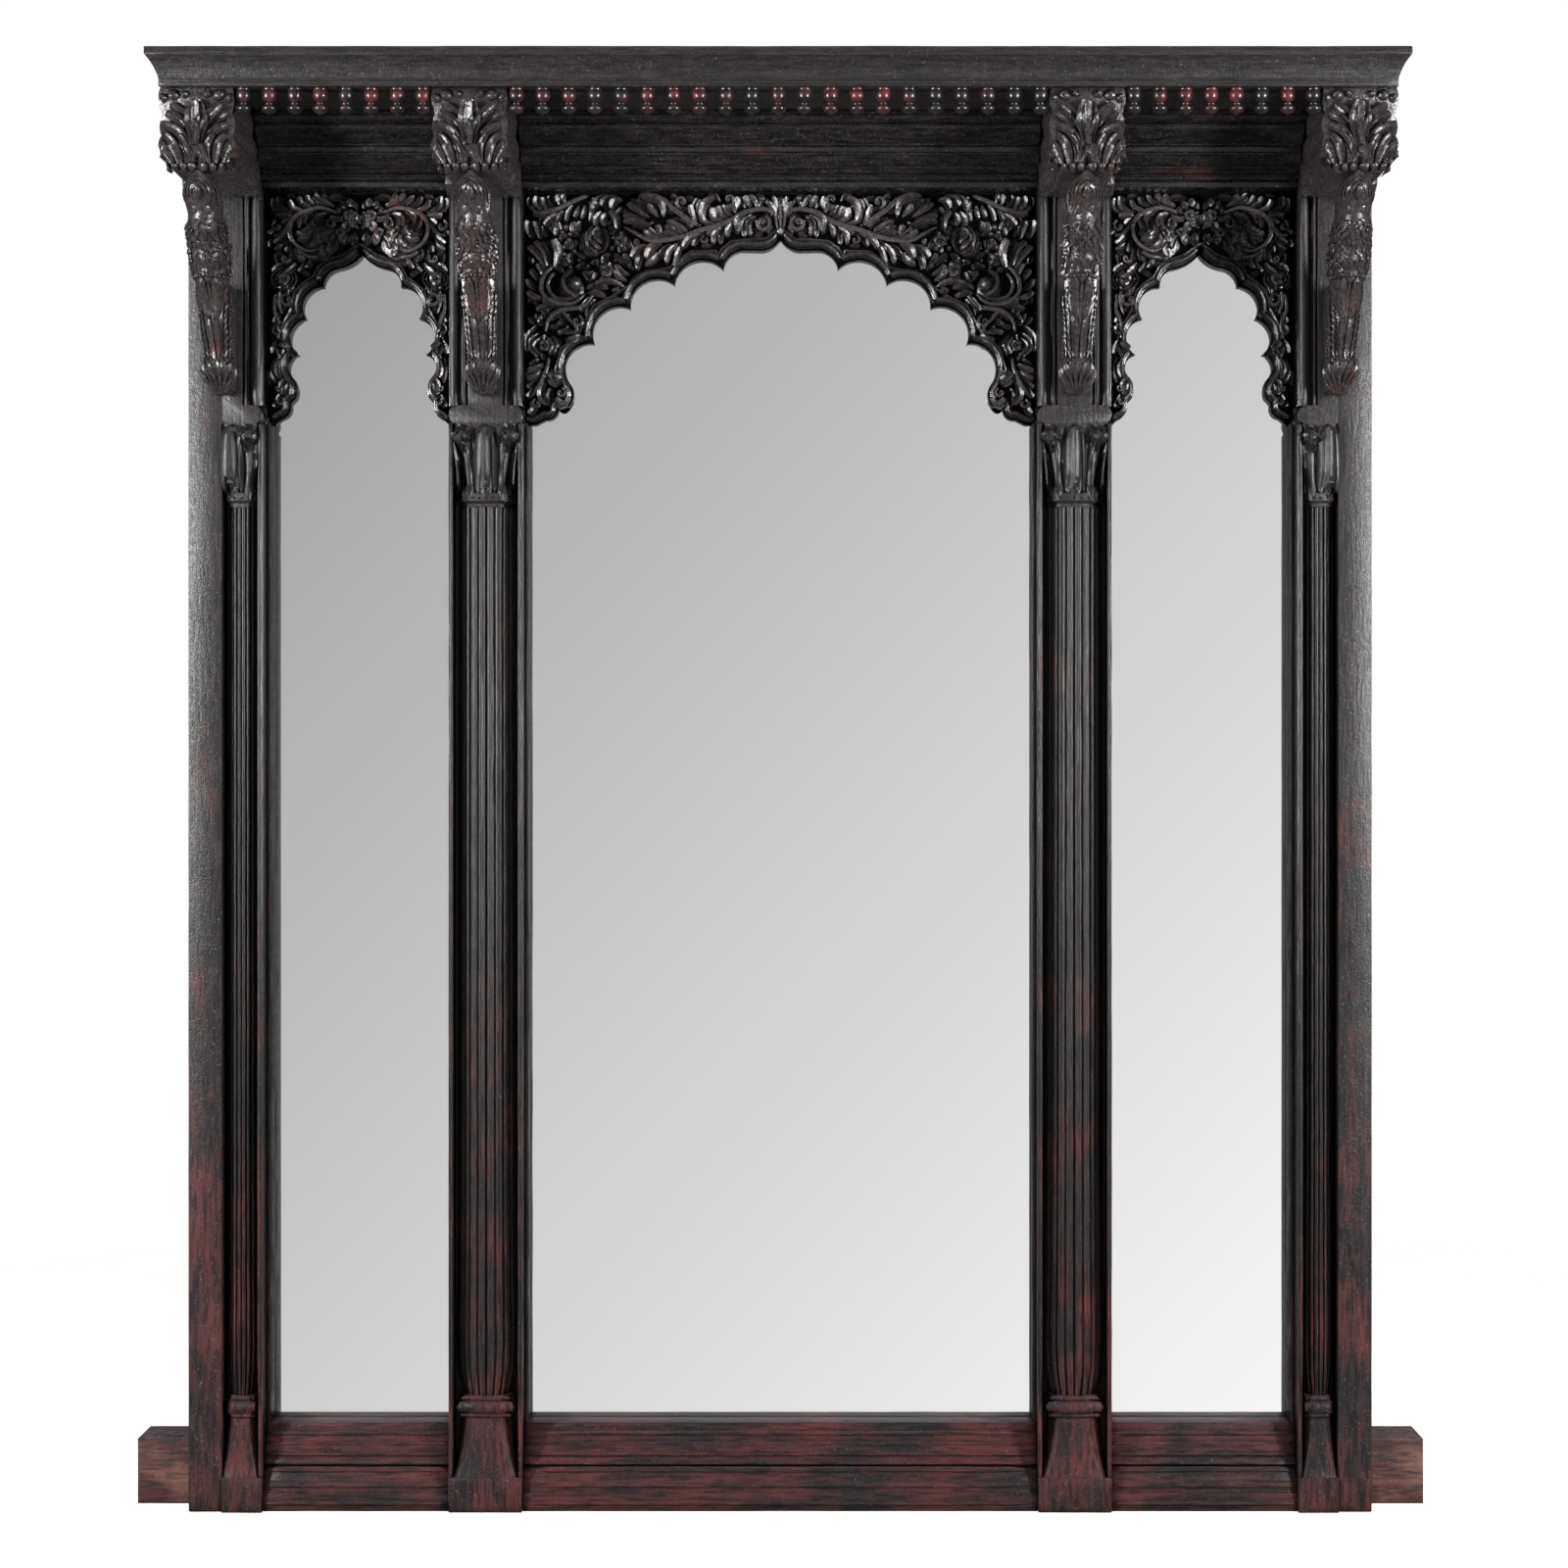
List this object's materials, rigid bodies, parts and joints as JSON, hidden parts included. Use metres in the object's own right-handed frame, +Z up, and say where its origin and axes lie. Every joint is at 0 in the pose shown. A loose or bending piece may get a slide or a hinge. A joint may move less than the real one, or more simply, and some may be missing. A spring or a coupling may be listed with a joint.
{
  "type": "carved triple-arch window mirror",
  "caption": "Tall carved hardwood window front turned into a mirror: cusped arches between reeded pilasters, bird struts under a moulded cornice hung with turned drops.",
  "frame": {"origin": "middle of the underside of the whole outline, on the floor", "axes": "+X across the front to the right, +Y from the front towards the wall, +Z up"},
  "size_m": [1.66, 0.31, 1.82],
  "materials": {
    "carved_teak": "dark waxed, worn to red-brown on the lower posts",
    "weathered_teak": "dry, dusty and bare in places",
    "painted_drops": "old red paint, rubbed, over dark wood",
    "silvered_mirror": "silvered float glass",
    "backing_plywood": "plain sanded plywood"
  },
  "bodies": {
    "root": {"arch_centre_left": "carved_teak", "arch_centre_right": "carved_teak", "arch_left_inner": "carved_teak", "arch_left_outer": "carved_teak", "arch_right_inner": "carved_teak", "arch_right_outer": "carved_teak", "backing_board_centre": "backing_plywood", "backing_board_left": "backing_plywood", "backing_board_right": "backing_plywood", "bird_bracket_left_end": "carved_teak", "bird_bracket_left_inner": "carved_teak", "bird_bracket_right_end": "carved_teak", "bird_bracket_right_inner": "carved_teak", "bracket_board_left_end": "carved_teak", "bracket_board_left_inner": "carved_teak", "bracket_board_right_end": "carved_teak", "bracket_board_right_inner": "carved_teak", "capital_left_end": "carved_teak", "capital_left_inner": "carved_teak", "capital_right_end": "carved_teak", "capital_right_inner": "carved_teak", "corbel_left_end": "carved_teak", "corbel_left_inner": "carved_teak", "corbel_right_end": "carved_teak", "corbel_right_inner": "carved_teak", "cornice_board": "carved_teak", "crown_moulding_front": "carved_teak", "crown_return_left": "carved_teak", "crown_return_right": "carved_teak", "frieze_board_centre": "carved_teak", "frieze_board_left": "carved_teak", "frieze_board_right": "carved_teak", "lintel_beam": "carved_teak", "mirror_pane_centre": "silvered_mirror", "mirror_pane_left": "silvered_mirror", "mirror_pane_right": "silvered_mirror", "pane_stops_centre": "carved_teak", "pane_stops_left": "carved_teak", "pane_stops_right": "carved_teak", "pendant_drops_centre": "painted_drops", "pendant_drops_left": "painted_drops", "pendant_drops_right": "painted_drops", "pilaster_base_left_end": "carved_teak", "pilaster_base_left_inner": "carved_teak", "pilaster_base_right_end": "carved_teak", "pilaster_base_right_inner": "carved_teak", "pilaster_shaft_left_end": "carved_teak", "pilaster_shaft_left_inner": "carved_teak", "pilaster_shaft_right_end": "carved_teak", "pilaster_shaft_right_inner": "carved_teak", "post_left_end": "carved_teak", "post_left_inner": "carved_teak", "post_right_end": "carved_teak", "post_right_inner": "carved_teak", "rebate_battens": "weathered_teak", "sill_beam": "weathered_teak", "sill_moulding_centre": "weathered_teak", "sill_moulding_left": "weathered_teak", "sill_moulding_right": "weathered_teak", "tenon_pegs": "weathered_teak"}
  },
  "joints": []
}
